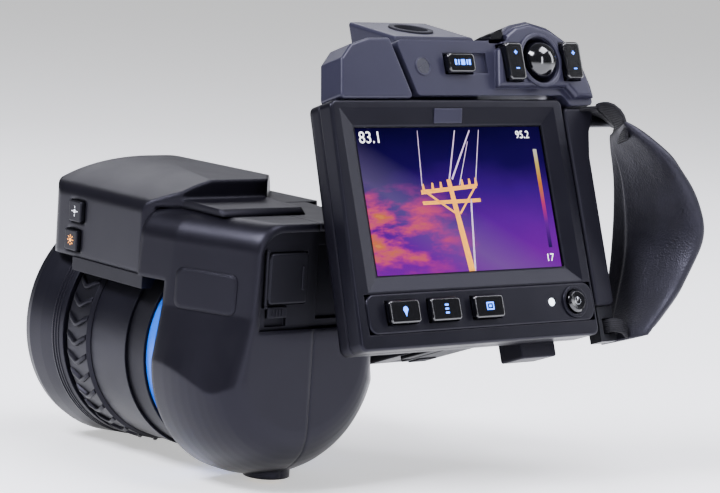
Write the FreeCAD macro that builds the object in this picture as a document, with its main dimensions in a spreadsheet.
"""Hand-held thermal imaging camera with a tilting display and grip unit.

Units are millimetres. +X is the user's right, +Y is the way the lens looks and +Z is up.
The origin is the mouth of the tripod socket, straight below the lens axis; the parts are
drawn SOCKET_MOUTH higher, and keep() drops each of them by it.
Sub-parts of the display unit are drawn upright about the tilt axis (x, depth y, height z)
and then turned forward by the stored tilt.
"""
import FreeCAD, Part
import math
import os
import Sketcher
from FreeCAD import Placement, Rotation, Vector

doc = FreeCAD.newDocument("thermal_camera")
sheet = doc.addObject("Spreadsheet::Sheet", "sizes")


class Size:
    """A number that remembers its spreadsheet expression."""

    def __init__(self, value, text):
        self.value = float(value)
        self.text = text

    @staticmethod
    def of(other):
        return other if isinstance(other, Size) else Size(other, f"{float(other):.4f}")

    def __add__(self, other):
        other = Size.of(other)
        return Size(self.value + other.value, f"({self.text} + {other.text})")

    def __sub__(self, other):
        other = Size.of(other)
        return Size(self.value - other.value, f"({self.text} - {other.text})")

    def __rsub__(self, other):
        return Size.of(other) - self

    def __mul__(self, other):
        other = Size.of(other)
        return Size(self.value * other.value, f"({self.text} * {other.text})")

    def __neg__(self):
        return Size(-self.value, f"(0 - {self.text})")

    __radd__ = __add__
    __rmul__ = __mul__


DRIVING = (
    # optical block
    ("lens_height", 50.0),
    ("rim_radius", 47.3),
    ("rim_front", 104.0),
    ("hood_rear", 78.6),
    ("focus_radius", 43.6),
    ("focus_front", 78.2),
    ("focus_rear", 62.3),
    ("barrel_radius", 42.2),
    ("journal_radius", 40.0),
    ("barrel_rear", 38.5),
    ("lock_radius", 41.0),
    ("blue_front", 27.5),
    ("blue_radius", 39.8),
    ("bore_radius", 35.0),
    ("running_gap", 0.06),
    ("cell_radius", 34.94),
    ("housing_radius", 46.0),
    ("housing_front", 15.0),
    ("shell_wall", 2.5),
    ("head_rear", -24.0),
    ("head_top", 106.0),
    ("hump_half", 42.0),
    ("hump_front", 96.0),
    ("hump_top", 118.6),
    ("hump_rear", 22.0),
    ("skirt_height", 80.0),
    ("tripod_radius", 3.175),
    ("tripod_depth", 9.0),
    ("tripod_boss", 9.0),
    # tilt joint
    ("tilt_y", 22.0),
    ("tilt_z", 74.0),
    ("shaft_radius", 6.0),
    ("hub_radius", 17.0),
    ("arm_left", 51.5),
    # display unit
    ("face_depth", -72.2),
    ("bezel_thick", 7.0),
    ("back_thick", 4.0),
    ("frame_left", -1.0),
    ("frame_right", 116.0),
    ("frame_top", 57.4),
    ("frame_bottom", -37.4),
    ("screen_left", 10.0),
    ("screen_width", 93.6),
    ("screen_height", 56.2),
    ("screen_top", 46.8),
    ("glass_thick", 1.2),
    ("panel_thick", 3.0),
    ("key_width", 14.5),
    ("key_height", 8.6),
    ("stick_radius", 7.6),
    ("arm_right", 82.0),
    ("arm_front", 24.0),
    ("strap_thick", 5.0),
    ("bar_radius", 2.5),
)
for row, (word, number) in enumerate(DRIVING, start=1):
    sheet.set(f"A{row}", word)
    sheet.set(f"B{row}", str(number))
    sheet.setAlias(f"B{row}", word)
doc.recompute()
D = {word: Size(number, f"sizes.{word}") for word, number in DRIVING}

REST_TILT = 20.0
TILT = Placement(Vector(0, D["tilt_y"].value, D["tilt_z"].value), Rotation(Vector(1, 0, 0), -REST_TILT))
STILL = Placement()
SOCKET_MOUTH = 5.0
DROP = Placement(Vector(0, 0, -SOCKET_MOUTH), Rotation())
ALONG_Y = Rotation(Vector(1, 0, 0), -90)
ALONG_X = Rotation(Vector(0, 1, 0), 90)
NODES = []


def number(size):
    return size.value if isinstance(size, Size) else float(size)


def bind(obj, prop, size):
    """Sets a property, driven by the sheet where the size comes from it."""
    setattr(obj, prop, number(size))
    if isinstance(size, Size):
        obj.setExpression(prop, size.text)


def keep(obj, node, frame=STILL):
    """Names a finished sub-part and puts it in its place."""
    obj.Label = node
    obj.Placement = DROP.multiply(frame).multiply(obj.Placement)
    NODES.append(obj)
    return obj


# ---------------------------------------------------------------- primitives
def box(name, low, high):
    """A Part::Box between two corners."""
    obj = doc.addObject("Part::Box", name)
    for prop, a, b in zip(("Length", "Width", "Height"), low, high):
        bind(obj, prop, Size.of(b) - Size.of(a))
    obj.Placement = Placement(Vector(*[number(v) for v in low]), Rotation())
    return obj


def rod(name, radius, length, start, turn=Rotation()):
    """A Part::Cylinder from a start point, along Z unless turned."""
    obj = doc.addObject("Part::Cylinder", name)
    bind(obj, "Radius", radius)
    bind(obj, "Height", length)
    obj.Placement = Placement(Vector(*[number(v) for v in start]), turn)
    return obj


def cut(name, base, *tools):
    """The base less all the tools."""
    obj = doc.addObject("Part::Cut", name)
    obj.Base = base
    obj.Tool = tools[0] if len(tools) == 1 else fuse(name + "_tools", *tools)
    return obj


def fuse(name, *shapes):
    obj = doc.addObject("Part::MultiFuse", name)
    obj.Shapes = list(shapes)
    return obj


def group(name, *shapes):
    """Several separate solids that are one node."""
    obj = doc.addObject("Part::Compound", name)
    obj.Links = list(shapes)
    return obj


def common(name, *shapes):
    obj = doc.addObject("Part::MultiCommon", name)
    obj.Shapes = list(shapes)
    return obj


def feature(name, shape):
    """A moulded shape that no primitive or sketch gives."""
    obj = doc.addObject("Part::Feature", name)
    obj.Shape = shape
    return obj


def rounded(name, base, radius, pick):
    """A Part::Fillet on the base's edges that pick() accepts."""
    doc.recompute()
    obj = doc.addObject("Part::Fillet", name)
    obj.Base = base
    size = number(radius)
    obj.Edges = [(i, size, size) for i, e in enumerate(base.Shape.Edges, start=1) if pick(e)]
    return obj


# ------------------------------------------------------------ PartDesign help
def origin_plane(body, role):
    return [f for f in body.Origin.OriginFeatures if f.Role == role][0]


def new_sketch(body, name, role, offset=0.0):
    """A sketch on one of the body's own planes, moved along the plane's normal."""
    sketch = body.newObject("Sketcher::SketchObject", name)
    sketch.AttachmentSupport = (origin_plane(body, role), [""])
    sketch.MapMode = "FlatFace"
    sketch.AttachmentOffset = Placement(Vector(0, 0, number(offset)), Rotation())
    if isinstance(offset, Size):
        sketch.setExpression("AttachmentOffset.Base.z", offset.text)
    return sketch


def outline(sketch, points):
    """A closed outline of straight edges; each corner is dimensioned from the origin."""
    corners = [(Size.of(a), Size.of(b)) for a, b in points]
    flat = [Vector(a.value, b.value, 0) for a, b in corners]
    count = len(flat)
    first = sketch.GeometryCount
    for i in range(count):
        sketch.addGeometry(Part.LineSegment(flat[i], flat[(i + 1) % count]), False)
    for i in range(count):
        here, after = first + i, first + (i + 1) % count
        sketch.addConstraint(Sketcher.Constraint("Coincident", here, 2, after, 1))
    for i, (a, b) in enumerate(corners):
        for kind, size in (("DistanceX", a), ("DistanceY", b)):
            index = sketch.addConstraint(Sketcher.Constraint(kind, -1, 1, first + i, 1, size.value))
            word = f"corner{first + i}{kind[-1].lower()}"
            sketch.renameConstraint(index, word)
            sketch.setExpression(f"Constraints.{word}", size.text)


def ring(sketch, across, up, radius):
    """A circle dimensioned from the origin."""
    across, up, radius = Size.of(across), Size.of(up), Size.of(radius)
    circle = Part.Circle(Vector(across.value, up.value, 0), Vector(0, 0, 1), radius.value)
    geo = sketch.addGeometry(circle, False)
    rows = (("DistanceX", (-1, 1, geo, 3), across), ("DistanceY", (-1, 1, geo, 3), up),
            ("Radius", (geo,), radius))
    for kind, ids, size in rows:
        index = sketch.addConstraint(Sketcher.Constraint(kind, *ids, size.value))
        word = f"ring{geo}{kind[-1].lower()}{kind[0].lower()}"
        sketch.renameConstraint(index, word)
        sketch.setExpression(f"Constraints.{word}", size.text)


def edge_names(shape, pick):
    return [f"Edge{i}" for i, e in enumerate(shape.Edges, start=1) if pick(e)]


def ease(body, base, name, radius, pick, kind="PartDesign::Fillet"):
    """Rounds or bevels the edges that pick() accepts."""
    doc.recompute()
    names = edge_names(base.Shape, pick)
    if not names:
        raise RuntimeError(f"{name}: no edge to ease")
    obj = body.newObject(kind, name)
    obj.Base = (base, names)
    bind(obj, "Radius" if kind.endswith("Fillet") else "Size", radius)
    body.Tip = obj
    return obj


def turned(node, profile, frame):
    """A part turned about its own Y axis from a profile of (radius, y) points."""
    body = doc.addObject("PartDesign::Body", node + "_body")
    sketch = new_sketch(body, node + "_profile", "XY_Plane")
    outline(sketch, profile)
    spin = body.newObject("PartDesign::Revolution", node + "_turn")
    spin.Profile = sketch
    spin.ReferenceAxis = (sketch, ["V_Axis"])
    spin.Angle = 360.0
    body.Placement = frame
    return body, spin


def pad(node, role, points, start, depth, reverse=False):
    """A body padded from an outline on one of its planes."""
    body = doc.addObject("PartDesign::Body", node + "_body")
    sketch = new_sketch(body, node + "_outline", role, start)
    outline(sketch, points)
    solid = body.newObject("PartDesign::Pad", node + "_pad")
    solid.Profile = sketch
    bind(solid, "Length", depth)
    solid.Reversed = reverse
    return body, solid


def pocket(body, name, role, points, start, depth, circle=None):
    """Cuts an outline or a circle out of a body, along the plane's normal."""
    doc.recompute()
    before = body.Tip.Shape.Volume
    sketch = new_sketch(body, name + "_outline", role, start)
    if circle:
        ring(sketch, *circle)
    else:
        outline(sketch, points)
    obj = body.newObject("PartDesign::Pocket", name)
    obj.Profile = sketch
    bind(obj, "Length", depth)
    obj.Reversed = True
    body.Tip = obj
    doc.recompute()
    if not obj.Shape.Volume < before - 0.01:
        raise RuntimeError(f"{name} cut nothing")
    return obj


def rectangle(left, bottom, right, top):
    return ((left, bottom), (right, bottom), (right, top), (left, top))


def along(direction):
    """True for straight edges that run along a direction."""
    def pick(edge):
        if edge.Curve.TypeId != "Part::GeomLine":
            return False
        return abs(abs(edge.tangentAt(edge.FirstParameter).dot(direction)) - 1.0) < 1e-6
    return pick


def near(axis, value, tolerance=0.01):
    """True for edges that lie wholly at one value of X, Y or Z."""
    low, high = axis + "Min", axis + "Max"

    def pick(edge):
        bounds = edge.BoundBox
        inside = abs(getattr(bounds, low) - number(value)) < tolerance
        return inside and abs(getattr(bounds, high) - number(value)) < tolerance
    return pick


def plate(node, points, back, thick, corner=None, front_edge=None):
    """A plate in the display plane; it grows from its back towards the user (-Y)."""
    body, solid = pad(node, "XZ_Plane", points, -Size.of(back), thick)
    last = solid
    if corner is not None:
        last = ease(body, last, node + "_corners", corner, along(Vector(0, 1, 0)))
    if front_edge is not None:
        last = ease(body, last, node + "_edge", front_edge, near("Y", Size.of(back) - thick))
    return body


# =================================================================== lens group
LENS = Placement(Vector(0, 0, D["lens_height"].value), Rotation())


def lens_parts():
    """Everything turned about the optical axis, from the camera body forwards."""
    bore, journal = D["bore_radius"], D["journal_radius"]
    barrel, lock, blue = D["barrel_radius"], D["lock_radius"], D["blue_radius"]
    rear, mid, front = D["blue_front"], D["barrel_rear"], D["focus_rear"]
    hood, rim, nose = D["hood_rear"], D["rim_radius"], D["rim_front"]
    seat = hood + 9.4
    tube = ((bore, rear), (journal - 2, rear), (journal - 2, mid), (barrel, mid), (barrel, front - 0.3))
    tube += ((journal, front - 0.3), (journal, seat), (bore, seat))
    body, _ = turned("lens_barrel", tube, LENS)
    keep(body, "lens_barrel")
    ring_profile = ((journal - 2, rear), (lock, rear), (lock, mid), (journal - 2, mid))
    body, _ = turned("lens_lock_ring", ring_profile, LENS)
    keep(body, "lens_lock_ring")
    body, _ = turned("mount_ring", ((bore, 6.5), (blue, 6.5), (blue, rear), (bore, rear)), LENS)
    keep(body, "mount_ring")
    hood_profile = ((journal, hood), (rim - 2.6, hood), (rim - 0.7, nose - 12), (rim, nose - 5))
    hood_profile += ((rim - 0.6, nose - 1.6), (rim - 2.2, nose), (rim - 4.6, nose), (38, nose - 8))
    hood_profile += ((38, seat), (journal, seat))
    body, _ = turned("front_hood", hood_profile, LENS)
    keep(body, "front_hood")
    glass = ((0, seat), (37.9, seat), (37.9, seat + 3.4), (30, seat + 4.6), (18, seat + 5.8),
             (0, seat + 6.4))
    body, _ = turned("front_element", glass, LENS)
    keep(body, "front_element")
    grip, gap = D["focus_radius"], D["running_gap"]
    turning = ((journal + gap, front), (grip - 1.2, front), (grip, front + 1.2),
               (grip, D["focus_front"] - 1.2))
    turning += ((grip - 1.2, D["focus_front"]), (journal + gap, D["focus_front"]))
    body, _ = turned("focus_ring", turning, LENS)
    keep(body, "focus_ring")
    cell = D["cell_radius"]
    body, _ = turned("focus_cell", ((28, 58), (cell, 58), (cell, 72), (28, 72)), LENS)
    keep(body, "focus_cell")
    body, _ = turned("focus_element", ((0, 61.5), (27.9, 62.5), (27.9, 67.5), (0, 69.5)), LENS)
    keep(body, "focus_element")


# ================================================================ optical block
def section(y, centre, radius, drop, half, top, corner):
    """A closed wire across the housing: round below, drawn in to a rounded head above.
    drop is the angle below the centre where the round ends; half is the head's half width."""
    cx, cz = centre
    sides = [Vector(cx + way * radius * math.cos(drop), y, cz - radius * math.sin(drop)) for way in (-1, 1)]
    bottom = Vector(cx, y, cz - radius)
    shoulder = 94.0
    bulge = corner * (1 - math.sqrt(0.5))

    def head(x, z):
        return [Vector(way * x, y, z) for way in (-1, 1)]
    mid = head(half + 1.3, 71)
    low = head(half, shoulder)
    bend = head(half - bulge, top - (top - shoulder) * (1 - math.sqrt(0.5)))
    crown = head(half - corner, top)
    edges = [Part.Arc(sides[0], bottom, sides[1]).toShape()]
    edges += [Part.makeLine(sides[1], mid[1]), Part.makeLine(mid[1], low[1])]
    edges += [Part.Arc(low[1], bend[1], crown[1]).toShape(), Part.makeLine(crown[1], crown[0])]
    edges += [Part.Arc(crown[0], bend[0], low[0]).toShape()]
    edges += [Part.makeLine(low[0], mid[0]), Part.makeLine(mid[0], sides[0])]
    return Part.Wire(edges)


def housing_solid(inset):
    """The rear housing as one solid, every wall moved in by inset. The round part closes in
    towards the back like a dome, and the head tapers in plan and stays tall."""
    radius, rear = D["housing_radius"].value, D["head_rear"].value + inset
    dome_from, dome_shrink, steps = 12.0, 18.5, 12
    wires = [section(29.0, (0, 50), radius - inset, 0.0, 44 - inset, 106 - inset, 11.0)]
    for i in range(steps + 1):
        turn = 0.5 * math.pi * i / steps
        y = dome_from + (rear - dome_from) * math.sin(turn)
        close = 1 - math.cos(turn)
        half = 44 - 0.346 * (22 - y) - 1.2 * close ** 6 - inset
        centre = (-3.0 * min(1.0, 2 * close), 50 + 4.5 * close)
        top = D["head_top"].value - 1.2 * close ** 6 - inset
        drop = math.radians(14) * min(1.0, 3 * close)
        wires.append(section(y, centre, radius - dome_shrink * close - inset, drop, half, top, 11.0))
    return Part.makeLoft(wires, True, True)


def head_opening(inset, start, depth):
    """The opening in the back of the head: straight sides and a rounded top."""
    half, base, shoulder, top = 25.6 - inset, 66 + inset, 93.0, 102.8 - inset
    points = [Vector(-half, start, base), Vector(half, start, base), Vector(half, start, shoulder)]
    crown = Vector(half - 9, start, top)
    bend = Vector(half - 2.6, start, top - 2.9)
    edges = [Part.makeLine(points[0], points[1]), Part.makeLine(points[1], points[2])]
    edges.append(Part.Arc(points[2], bend, crown).toShape())
    edges.append(Part.makeLine(crown, Vector(-crown.x, start, top)))
    edges.append(Part.Arc(Vector(-crown.x, start, top), Vector(-bend.x, start, bend.z),
                          Vector(-half, start, shoulder)).toShape())
    edges.append(Part.makeLine(Vector(-half, start, shoulder), points[0]))
    return Part.Face(Part.Wire(edges)).extrude(Vector(0, depth, 0))


def housing_parts():
    """Left and right covers of the rear housing and the dark panel in its back."""
    tilt_y, tilt_z = D["tilt_y"], D["tilt_z"]
    outer = feature("housing_outer", housing_solid(0.0))
    inner = feature("housing_inner", housing_solid(D["shell_wall"].value))
    boss = rod("tripod_boss", D["tripod_boss"], 9.6, (0, 0, SOCKET_MOUTH))
    whole = fuse("housing_whole", outer, boss)
    mouth = box("housing_mouth", (-60, D["housing_front"], -5), (0, 32, D["skirt_height"]))
    cheek = box("cheek_mouth", (-1, D["housing_front"], -5), (60, 32, 56.5))
    front_hole = rod("lens_hole", D["blue_radius"] + 0.6, 40, (0, -2, D["lens_height"]), ALONG_Y)
    bush_hole = rod("bush_hole", 6.03, 16, (0, 0, SOCKET_MOUTH - 1))
    back = feature("head_opening", head_opening(0.0, -30.0, 16.0))
    seat_hole = rod("seat_hole", D["hub_radius"] - 7.9, 40, (20, tilt_y, tilt_z), ALONG_X)
    shell = cut("housing_shell", whole, inner, mouth, cheek, front_hole, bush_hole, back, seat_hole)
    left = common("left_cover", shell, box("left_half", (-60, -40, -5), (-0.04, 40, 130)))
    right = common("right_cover", shell, box("right_half", (0.04, -40, -5), (60, 40, 130)))
    keep(left, "left_cover")
    keep(right, "right_cover")
    bush = cut("tripod_bush", rod("bush_outer", 6.0, 10.2, (0, 0, SOCKET_MOUTH)),
               rod("bush_bore", D["tripod_radius"], D["tripod_depth"], (0, 0, SOCKET_MOUTH)))
    keep(bush, "tripod_bush")
    panel = feature("panel_blank", head_opening(0.1, -22.0, 3.0))
    door_well = box("door_well", (-22.4, -23, 75.6), (-3.6, -20.4, 95.4))
    latch_well = box("latch_well", (-21.9, -23, 67.4), (-12.1, -20.4, 75.4))
    side_well = box("side_well", (1.6, -23, 69.5), (22.4, -20.6, 97.5))
    pin = rod("door_pin", 0.5, 21.2, (-22.9, -22.9, 74.9))
    ears = [box(f"door_ear_{i}", (-23.7, -23.7, z), (-22.2, -21.9, z + 1.0))
            for i, z in enumerate((74.6, 95.4))]
    cut_panel = cut("panel_cut", panel, door_well, latch_well, side_well)
    keep(fuse("rear_panel", cut_panel, pin, *ears), "rear_panel")
    leaf = plate("port_leaf", rectangle(-22.0, 76.0, -4.0, 95.0), -20.5, 3.4, 1.6, 0.8)
    barrel = rod("door_barrel", 0.8, 19.4, (-22.9, -22.9, 75.8))
    link = box("door_link", (-23.0, -23.5, 78), (-21.4, -22.3, 93))
    hole = rod("door_bore", 0.55, 30, (-22.9, -22.9, 70))
    keep(cut("port_door", fuse("door_whole", leaf, barrel, link), hole), "port_door")
    latch = plate("door_latch", rectangle(-21.6, 70.6, -12.4, 75.0), -20.5, 2.6, 0.8, 0.5)
    keep(latch, "door_latch")


def shoulder_plane(side):
    """A box whose lower face is the oblique facet at the back corner of the hump."""
    normal = Vector(side * 0.801, -0.279, 0.530)
    turn = Rotation(Vector(0, 0, 1), normal)
    size, height = 60.0, 30.0
    point = Vector(side * 42, 46, 116)
    obj = doc.addObject("Part::Box", f"facet_{'right' if side > 0 else 'left'}")
    obj.Length, obj.Width, obj.Height = size, size, height
    centre = point - turn.multVec(Vector(size / 2, size / 2, 0))
    obj.Placement = Placement(centre, turn)
    return obj


def hump_parts():
    """The top housing over the lens with its windows, lamps, trims and two side buttons."""
    half, top, rear, front = D["hump_half"], D["hump_top"], D["hump_rear"], D["hump_front"]
    skirt, head = D["skirt_height"], D["head_top"]
    profile = ((29.1, skirt), (front, skirt), (front, top), (70, top), (rear, top - 2), (rear, top - 9))
    profile += ((0, top - 10), (-3, head + 0.1), (29.1, head + 0.1))
    side, solid = pad("hump_side", "YZ_Plane", profile, -half, half * 2)
    ease(side, solid, "hump_brow", 13.0, lambda e: near("Y", front)(e) and near("Z", top)(e))
    across = ((-half, front), (-half, 32), (-31, 21.9), (-29, -4), (29, -4), (31, 21.9), (half, 32),
              (half, front))
    plan, solid = pad("hump_plan", "XY_Plane", across, skirt, 60)
    ease(plan, solid, "hump_corners", 7.0, lambda e: along(Vector(0, 0, 1))(e) and e.BoundBox.YMin > 50)
    crown_radius = 80.0
    crown = rod("hump_crown", crown_radius, 130, (0, -20, top - crown_radius), ALONG_Y)
    walls = box("hump_walls", (-half, -20, skirt), (half, 110, top))
    arch = rounded("hump_arch", common("hump_section", crown, walls), 6.0, lambda e: shoulder_line(e, half))
    axis = D["lens_height"]
    tunnels = [rod("tunnel", 45.2, 90, (0, 20, axis), ALONG_Y),
               rod("hood_tunnel", 47.9, 30, (0, 78.2, axis), ALONG_Y)]
    notch_plan = ((half + 2, 66), (half + 2, -6), (9, -6), (9, 22))
    notch, _ = pad("hump_notch", "XY_Plane", notch_plan, head + 0.1, 40)
    tunnels.append(notch)
    block = common("hump_block", side, arch, plan)
    cavity = fuse("hump_cavity", box("low_cavity", (-35, 34, 98), (35, 88, 103.9)),
                  box("high_cavity", (-35, 67, 98), (35, 88, 108.4)))
    window_hole = box("window_hole", (-27, 84, 97.6), (27, 100, 108.4))
    wells = [box(f"button_well_{i}", (-50, y - 5.2, z - 4.4), (-37.0, y + 5.2, z + 4.4))
             for i, (y, z) in enumerate(SIDE_KEYS)]
    facets = [shoulder_plane(-1), shoulder_plane(1)]
    keep(cut("top_housing", block, cavity, window_hole, *tunnels, *wells, *facets), "top_housing")
    strips = []
    for name, x0, x1, y0 in (("left", -42.3, -36.5, 29.4), ("right", 36.5, 42.3, 32.0)):
        strips.append(box(f"trim_{name}", (x0, y0, 74.6), (x1, 77.8, skirt - 0.1)))
    clear = rod("trim_clear", 45.2, 60, (0, 25, axis), ALONG_Y)
    keep(cut("skirt_trim", fuse("trim_strips", *strips), clear), "skirt_trim")
    keep(plate("front_window", rectangle(-26.9, 97.7, 26.9, 108.3), 93.4, 2.2, None, None), "front_window")
    keep(rod("visual_camera", 4.8, 12.0, (-1, 78, 103), ALONG_Y), "visual_camera")
    lamps = [rod(f"lamp_{i}", 4.8, 9.0, (x, 81, 103), ALONG_Y) for i, x in enumerate((-18.5, 17.5))]
    keep(group("lamp_modules", *lamps), "lamp_modules")
    keep(rod("laser_module", 2.4, 14.0, (8.2, 76, 103), ALONG_Y), "laser_module")
    for node, (y, z) in zip(("laser_button", "lamp_button"), SIDE_KEYS):
        body, solid = pad(node, "YZ_Plane", rectangle(y - 4.2, z - 4.1, y + 4.2, z + 4.1), -43.6, 5.0)
        last = ease(body, solid, node + "_corners", 1.0, along(Vector(1, 0, 0)))
        ease(body, last, node + "_edge", 0.5, near("X", -43.6))
        keep(body, node)


SIDE_KEYS = ((76.2, 98.0), (78.2, 86.4))


def shoulder_line(edge, half):
    """The two long edges where the crown meets the side walls."""
    bounds = edge.BoundBox
    level = abs(abs(bounds.XMin) - half.value) < 0.01 and abs(bounds.XMax - bounds.XMin) < 0.01
    return level and bounds.YLength > 50 and bounds.ZMin > 100


def block_internals():
    """Chassis, detector, boards and the tilt shaft inside the housing."""
    axis = D["lens_height"]
    flange = rod("flange", 39.7, 5.0, (0, 0, axis), ALONG_Y)
    deck = box("deck", (-27, -12, 93.6), (27, 26, 96.0))
    post = box("deck_post", (-24, 0, 80), (24, 5, 94))
    bracket = box("shaft_bracket", (35.4, 18.4, 62), (38.0, 28.9, 94))
    bridge = box("deck_bridge", (26, 20, 91.6), (38.0, 28.9, 94))
    hole = rod("flange_hole", 30.0, 20.0, (0, -5, axis), ALONG_Y)
    eye = rod("bracket_eye", D["shaft_radius"] + 0.03, 20, (26, D["tilt_y"], D["tilt_z"]), ALONG_X)
    clear = rod("mount_clear", D["lock_radius"] + 0.4, 40, (0, 5.0, axis), ALONG_Y)
    screws, holes = [], []
    for i in range(4):
        turn = math.radians(45 + 90 * i)
        x, z = 36.4 * math.cos(turn), axis.value + 36.4 * math.sin(turn)
        holes.append(rod(f"screw_hole_{i}", 1.3, 8, (x, -1, z), ALONG_Y))
        head = rod(f"screw_head_{i}", 2.4, 1.8, (x, -1.8, z), ALONG_Y)
        shank = rod(f"screw_shank_{i}", 1.25, 5.0, (x, 0, z), ALONG_Y)
        screws.append(fuse(f"screw_{i}", head, shank))
    body = fuse("chassis_blank", flange, deck, post, bracket, bridge)
    holes.append(rod("bush_clear", 6.4, 14, (0, 0, 4)))
    keep(cut("chassis", body, hole, eye, clear, *holes), "chassis")
    keep(group("flange_screws", *screws), "flange_screws")
    keep(cut("detector_module", box("detector_box", (-15, -12, 35), (15, 0, 65)),
             rod("detector_window", 9, 4, (0, -3, axis), ALONG_Y)), "detector_module")
    boards = [box("detector_board", (-22, -14.2, 30), (22, -12.6, 64)),
              box("hump_board", (-30, 36, 98.4), (30, 74, 99.6))]
    keep(group("block_boards", *boards), "block_boards")
    y, z = D["tilt_y"], D["tilt_z"]
    keep(rod("tilt_shaft", D["shaft_radius"], 25.0, (37.0, y, z), ALONG_X), "tilt_shaft")
    seat = rod("seat_disc", D["hub_radius"], 4.9, (46.2, y, z), ALONG_X)
    neck = rod("seat_neck", D["hub_radius"] - 8, 10.0, (38.4, y, z), ALONG_X)
    bore = rod("seat_bore", D["shaft_radius"] + 0.03, 30, (30, y, z), ALONG_X)
    rings = rod("seat_clear", D["barrel_radius"] + 0.4, 60, (0, 10, axis), ALONG_Y)
    keep(cut("tilt_seat", fuse("seat_body", seat, neck), bore, rings), "tilt_seat")


# ================================================================= display unit
FACE = D["face_depth"]
BACK = FACE + D["bezel_thick"]


def frustum(low, high, near_y, low_back, high_back, far_y):
    """A solid between two upright rectangles, for the sloping walls round the screen."""
    wires = []
    for (x0, z0), (x1, z1), y in ((low, high, near_y), (low_back, high_back, far_y)):
        corners = [Vector(x0, y, z0), Vector(x1, y, z0), Vector(x1, y, z1), Vector(x0, y, z1)]
        wires.append(Part.makePolygon(corners + corners[:1]))
    return Part.makeLoft(wires, True, True)


KEYS = (("key_left", 16.5), ("key_middle", 36.5), ("key_right", 58.0))
KEY_Z = -23.9
POWER = (104.0, -24.0)
LED = (92.0, -23.6)
PANEL = (0.4, -31.6, 114.0, -16.4)


def display_front():
    """Bezel, screen, button panel and the keys on the face."""
    left, right, top, bottom = D["frame_left"], D["frame_right"], D["frame_top"], D["frame_bottom"]
    points = ((left - 3.4, bottom), (right - 0.5, bottom), (right - 0.5, top), (left, top))
    frame = plate("bezel_frame", points, BACK, D["bezel_thick"], 3.0, 1.2)
    s_left, s_top = D["screen_left"], D["screen_top"]
    s_right, s_bottom = s_left + D["screen_width"], s_top - D["screen_height"]
    pocket(frame, "glass_seat", "XZ_Plane", rectangle(s_left - 1, s_bottom - 1, s_right + 1, s_top + 1),
           -BACK, 5.0)
    pocket(frame, "panel_seat", "XZ_Plane", rectangle(*PANEL), -(FACE + 2.8), 10.0)
    slope = frustum((2.8, -15.7), (110.6, 54.1), FACE.value - 0.01, (s_left.value, s_bottom.value),
                    (s_right.value, s_top.value), FACE.value + 2.01)
    keep(cut("bezel_cut", frame, feature("slope", slope)), "bezel_frame", TILT)
    glass = box("screen_glass", (s_left - 0.9, FACE + 2.0, s_bottom - 0.9),
                (s_right + 0.9, FACE + 2.0 + D["glass_thick"], s_top + 0.9))
    keep(glass, "screen_glass", TILT)
    start = FACE + 2.0 + D["glass_thick"]
    panel = box("lcd_panel", (s_left - 0.8, start, s_bottom - 0.8),
                (s_right + 0.8, start + D["panel_thick"], s_top + 0.8))
    keep(panel, "lcd_panel", TILT)
    x0, z0, x1, z1 = PANEL
    strip = plate("button_panel", rectangle(x0 + 0.1, z0 + 0.1, x1 - 0.1, z1 - 0.1), FACE + 2.8, 3.4, 4.2,
                  0.8)
    wide, high = D["key_width"] * 0.5 + 0.3, D["key_height"] * 0.5 + 0.3
    for node, x in KEYS:
        pocket(strip, node + "_hole", "XZ_Plane",
               rectangle(x - wide, KEY_Z - high, x + wide, KEY_Z + high), -(FACE + 2.8), 9)
    pocket(strip, "power_hole", "XZ_Plane", None, -(FACE + 2.8), 9, (POWER[0], POWER[1], 4.7))
    pocket(strip, "led_hole", "XZ_Plane", None, -(FACE + 2.8), 9, (LED[0], LED[1], 1.6))
    keep(strip, "button_panel", TILT)
    for node, x in KEYS:
        wide, high = D["key_width"] * 0.5, D["key_height"] * 0.5
        key = plate(node, rectangle(x - wide, KEY_Z - high, x + wide, KEY_Z + high), FACE + 1.4, 4.6, 1.4,
                    0.8)
        keep(key, node, TILT)
    power, solid = turned("power_key", ((0, 0), (4.4, 0), (4.4, 3.4), (3.6, 4.2), (0, 3.9)), STILL)
    power.Placement = Placement(Vector(POWER[0], FACE.value + 1.4, POWER[1]),
                            Rotation(Vector(0, 0, 1), 180))
    keep(power, "power_key", TILT)
    lamp = rod("status_lamp", 1.55, 3.2, (LED[0], FACE - 0.6, LED[1]), ALONG_Y)
    sensor = rod("light_sensor", 3.1, 2.2, (45.6, FACE - 0.9, 70.0), ALONG_Y)
    keep(group("panel_lights", lamp, sensor), "panel_lights", TILT)


def display_back():
    """The thin tray behind the bezel with the display board in it."""
    left, right, top, bottom = D["frame_left"], D["frame_right"], D["frame_top"], D["frame_bottom"]
    points = ((left - 3.4, bottom), (right - 0.5, bottom), (right - 0.5, top), (left, top))
    tray = plate("rear_tray", points, BACK + D["back_thick"] + 2.0, D["back_thick"] + 1.9, 3.0, None)
    pocket(tray, "tray_well", "XZ_Plane", rectangle(3, -33, 112, 53), -(BACK + D["back_thick"]), 12)
    keep(tray, "rear_tray", TILT)
    boards = [box("display_board", (7, BACK + 1.2, -29), (108, BACK + 2.8, 49)),
              box("main_board", (60.4, -54, 14), (78.4, -8, 15.6))]
    keep(group("unit_boards", *boards), "unit_boards", TILT)


CONTROLS = (("auto_key", 63.5, 71.0, 13.6, 7.6), ("left_pill", 88.8, 71.0, 8.6, 15.0),
            ("right_pill", 119.4, 71.5, 8.6, 15.0))
STICK = (103.6, 72.0)


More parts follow.
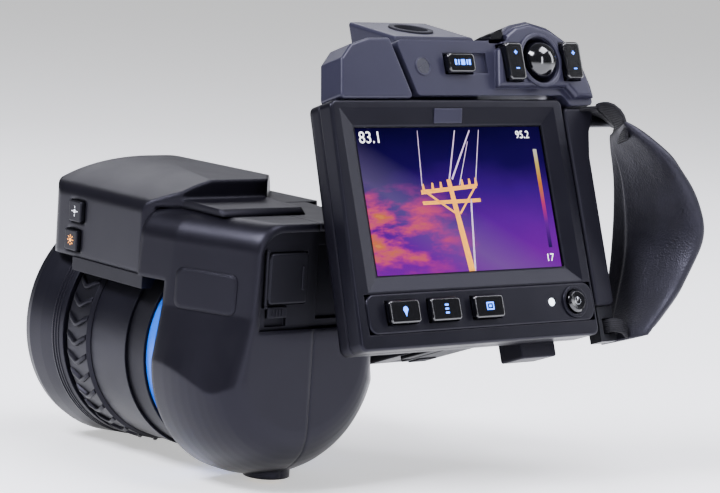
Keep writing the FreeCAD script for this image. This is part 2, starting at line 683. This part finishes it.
def controls():
    """Shoulder cover, control plate with its pod, joystick and the keys around it."""
    shoulder = ((3.8, 57.7), (39.0, 57.7), (31.6, 81.2), (21, 81.0), (12.4, 78.6), (6.8, 73))
    keep(plate("shoulder_cover", shoulder, -60.2, 13.0, 1.5, 1.0), "shoulder_cover", TILT)
    flat = ((41.2, 58.6), (115.8, 58.6), (119, 54.4), (131.4, 54.4), (130.4, 62), (126.5, 74), (121, 80.5))
    flat += ((112.5, 86), (102, 88.4), (93, 86.8), (86, 82.4), (80, 80.4), (34.2, 80.4))
    body = plate("control_plate", flat, -62.2, 11.0, 2.0, None)
    pod = ((80.5, 61.5), (116.5, 61.5), (120.5, 57.0), (130.2, 57.0), (129.4, 62), (125.6, 73.4),
           (120.4, 79.6))
    pod += ((112, 84.8), (102, 87.2), (93.6, 85.6), (87, 81.6), (83.4, 76.0))
    sketch = new_sketch(body, "pod_outline", "XZ_Plane", -(FACE - 0.9))
    outline(sketch, pod)
    raised = body.newObject("PartDesign::Pad", "pod_pad")
    raised.Profile = sketch
    bind(raised, "Length", 3.2)
    body.Tip = raised
    doc.recompute()
    last = ease(body, raised, "pod_edge", 1.8, near("Y", FACE - 4.1))
    start = 62.2
    for node, x, z, wide, high in CONTROLS:
        hole = rectangle(x - wide / 2 - 0.35, z - high / 2 - 0.35, x + wide / 2 + 0.35, z + high / 2 + 0.35)
        pocket(body, node + "_hole", "XZ_Plane", hole, start + 6.6, 12)
    pocket(body, "stick_hole", "XZ_Plane", None, start + 1.2, 30,
           (STICK[0], STICK[1], D["stick_radius"] + 1.5))
    pocket(body, "sensor_hole", "XZ_Plane", None, start + 8.6, 12, (45.6, 70.0, 3.2))
    pocket(body, "auto_recess", "XZ_Plane", rectangle(71, 67.4, 78.4, 75.4), start + 9.8, 12)
    pocket(body, "top_key_hole", "XZ_Plane", rectangle(81.2, 79.4, 88.6, 89), start + 2.0, 12)
    keep(body, "control_plate", TILT)
    for node, x, z, wide, high in CONTROLS:
        front = 3.4 if node == "auto_key" else 6.6
        thick = front + 3.0
        key = plate(node, rectangle(x - wide / 2, z - high / 2, x + wide / 2, z + high / 2), FACE + 2.2,
                    thick - 0.4, 1.8, 0.9)
        keep(key, node, TILT)
    top_key = plate("top_key", ((81.6, 80.8), (88.2, 80.8), (88.2, 85.3), (84.8, 84.2), (81.6, 82.9)),
                    -64.6, 9.6)
    keep(top_key, "top_key", TILT)
    joystick()


def joystick():
    """A ball-topped stick on a two-axis gimbal."""
    x, z = STICK
    centre = FACE.value - 2.6
    radius = D["stick_radius"]
    ball = doc.addObject("Part::Sphere", "stick_ball")
    bind(ball, "Radius", radius)
    ball.Placement = Placement(Vector(x, centre, z), Rotation())
    crop = box("stick_crop", (x - 12, centre + 4.4, z - 12), (x + 12, centre + 12, z + 12))
    stem_start = centre + 3.0
    stem = rod("stick_stem", 1.5, 6.8, (x, stem_start, z), ALONG_Y)
    low = centre + 8.2
    cross_pin = rod("stick_pin", 0.8, 6.4, (x - 3.2, low, z), ALONG_X)
    keep(fuse("joystick_cap", cut("stick_dome", ball, crop), stem, cross_pin), "joystick_cap", TILT)
    block = box("gimbal_block", (x - 3.4, low - 1.6, z - 3.4), (x + 3.4, low + 1.6, z + 3.4))
    pins = rod("gimbal_pins", 1.0, 17.2, (x, low, z - 8.6))
    eye = rod("gimbal_eye", 1.95, 12, (x, low - 6, z), ALONG_Y)
    bore = rod("gimbal_bore", 0.85, 8, (x - 4, low, z), ALONG_X)
    keep(cut("joystick_gimbal", fuse("gimbal_whole", block, pins), eye, bore), "joystick_gimbal", TILT)


def body_side():
    """The deep arm that carries the hub, the battery and its cover, the grip and the column."""
    left, right, front = D["arm_left"], D["arm_right"], D["arm_front"]
    back = BACK + D["back_thick"] + 2.0
    side = ((back, -34), (-4, -34), (front - 4, -20), (front, -8), (front, 10), (front - 6, 22),
            (-24, 55.9), (back, 55.9))
    arm, solid = pad("arm_housing", "YZ_Plane", side, left, right - left)
    ease(arm, solid, "arm_corners", 5.0, lambda e: along(Vector(1, 0, 0))(e) and e.BoundBox.YMin > -30)
    inside = ((back + 2.5, -31.6), (-5, -31.6), (front - 7, -18), (front - 3, -7), (front - 3, 9),
              (front - 9, 19), (-26, 53))
    inside += ((back + 2.5, 53),)
    pocket(arm, "arm_cavity", "YZ_Plane", inside, left + 8.0, right - left - 11.0)
    hub = rod("hub_bore", D["shaft_radius"] + 0.05, 20, (left - 2, 0, 0), ALONG_X)
    hatch = box("battery_hatch", (61.5, -55, -36), (78.5, -9, -31.0))
    keep(cut("arm_cut", arm, hub, hatch), "arm_housing", TILT)
    cover = box("battery_cover", (61.8, -54.6, -34), (78.2, -9.4, -31.8))
    keep(cover, "battery_cover", TILT)
    keep(box("battery", (60.4, -52, -28), (78, -6, 8)), "battery", TILT)
    column = ((116.0, -26), (126.0, -26), (126.4, 34), (128.4, 44), (131.4, 49.5), (131.4, 53.9),
              (116.0, 53.9))
    keep(plate("grip_column", column, -60.2, 12.0, 2.2, 1.4), "grip_column", TILT)
    grip = ((84.2, -33), (113, -33), (119, -24), (119, 44), (113, 55.9), (84.2, 55.9))
    body, solid = pad("hand_grip", "XZ_Plane", grip, 59.0, 37.0, True)
    last = ease(body, solid, "grip_corners", 4.0, along(Vector(0, 1, 0)))
    ease(body, last, "grip_nose", 6.0, near("Y", -22.0))
    pocket(body, "trigger_hole", "XZ_Plane", rectangle(94.6, 34.6, 109.4, 45.4), 26.2, 12).Reversed = False
    keep(body, "hand_grip", TILT)
    trigger, solid = pad("save_trigger", "XZ_Plane", rectangle(95, 35, 109, 45), 23.6, 4.4, True)
    last = ease(trigger, solid, "trigger_corners", 2.0, along(Vector(0, 1, 0)))
    ease(trigger, last, "trigger_edge", 1.0, near("Y", -19.2))
    keep(trigger, "save_trigger", TILT)
    foot = plate("rest_foot", rectangle(85, -43, 103, -33.0), -46, 12.8, 1.0, 0.6)
    keep(foot, "rest_foot", TILT)


def viewfinder():
    """A wedge on the top that hinges up from its rear edge, with an eyepiece in its sloping face."""
    post = box("finder_post", (43.6, -59.0, 56.2), (83.6, -34, 79.6))
    knuckles = [rod(f"finder_knuckle_{i}", 1.5, 3.8, (x, -34.2, 80.4), ALONG_X)
                for i, x in enumerate((44.0, 79.4))]
    pin = rod("finder_pin", 0.7, 39.0, (44.2, -34.2, 80.4), ALONG_X)
    clear = rod("finder_clear", 1.9, 31.4, (47.9, -34.2, 80.4), ALONG_X)
    base = fuse("finder_base", cut("finder_post_cut", post, clear), *knuckles, pin)
    keep(base, "viewfinder_base", TILT)
    wedge = ((-61.9, 80.7), (-36.2, 80.2), (-36.2, 97.5), (-61.9, 84.8))
    body, solid = pad("viewfinder_body", "YZ_Plane", wedge, 43.4, 40.2)
    ease(body, solid, "finder_edges", 1.5, lambda e: e.BoundBox.ZMin > 84 and e.BoundBox.XLength < 1)
    slope = Rotation(Vector(1, 0, 0), math.degrees(math.atan2(12.9, 26.4)))
    spot = Vector(63.5, -49.0, 91.2)
    well = rod("eyepiece_well", 9.0, 9.0, spot - slope.multVec(Vector(0, 0, 6.5)), slope)
    barrel = rod("finder_barrel", 1.5, 31.0, (48.1, -34.2, 80.4), ALONG_X)
    web = box("finder_web", (48.1, -36.5, 80.3), (79.1, -34.4, 81.8))
    bore = rod("finder_bore", 0.75, 50, (40, -34.2, 80.4), ALONG_X)
    keep(cut("finder_cut", fuse("finder_whole", body, barrel, web), well, bore), "viewfinder_body", TILT)
    cup = rod("eyecup_disc", 8.9, 7.0, spot - slope.multVec(Vector(0, 0, 6.4)), slope)
    hollow = rod("eyecup_hollow", 6.8, 9.0, spot - slope.multVec(Vector(0, 0, 4.4)), slope)
    keep(cut("eyecup", cup, hollow), "eyecup", TILT)
    lens = rod("eyepiece_lens", 6.7, 1.6, spot - slope.multVec(Vector(0, 0, 4.3)), slope)
    keep(lens, "eyepiece_lens", TILT)


def strap():
    """Bar, hook, webbing and the padded hand strap at the right side."""
    radius = D["bar_radius"]
    bar = rod("strap_bar", radius, 14.0, (131.5, -66, 49.6), ALONG_X)
    hook = cut("strap_hook", box("hook_block", (117.6, -70, -40.2), (125.8, -63.4, -26.2)),
               box("hook_slot", (119.6, -80, -37.4), (123.8, -50, -31)))
    keep(group("strap_fittings", bar, hook), "strap_fittings", TILT)
    rows = ((44.0, 133, -88, 146, -66), (25, 146, -98, 149.5, -60), (0, 157, -97, 149.5, -52))
    rows += ((-22, 149, -88, 142, -51), (-40, 134, -79, 129, -58))
    wires = []
    thick = D["strap_thick"].value
    for z, near_x, near_y, far_x, far_y in rows:
        across = Vector(far_x - near_x, far_y - near_y, 0).normalize()
        out = Vector(across.y, -across.x, 0) * (thick / 2)
        a, b = Vector(near_x, near_y, z), Vector(far_x, far_y, z)
        corners = [a - out, b - out, b + out, a + out]
        wires.append(Part.makePolygon(corners + corners[:1]))
    keep(feature("strap_pad", Part.makeLoft(wires, True, False)), "strap_pad", TILT)


lens_parts()
housing_parts()
hump_parts()
block_internals()
display_front()
display_back()
controls()
body_side()
viewfinder()
strap()

doc.recompute()
for obj in doc.Objects:
    if "Invalid" in obj.State or "Error" in obj.State:
        raise RuntimeError(f"{obj.Label} did not build: {obj.State}")
os.makedirs("parts", exist_ok=True)
for obj in NODES:
    shape = obj.Shape
    if shape.isNull() or not shape.isValid() or not shape.Solids:
        raise RuntimeError(f"{obj.Label} has no valid solid")
    shape.exportStep(f"parts/{obj.Label}.step")
print(len(NODES), "nodes")
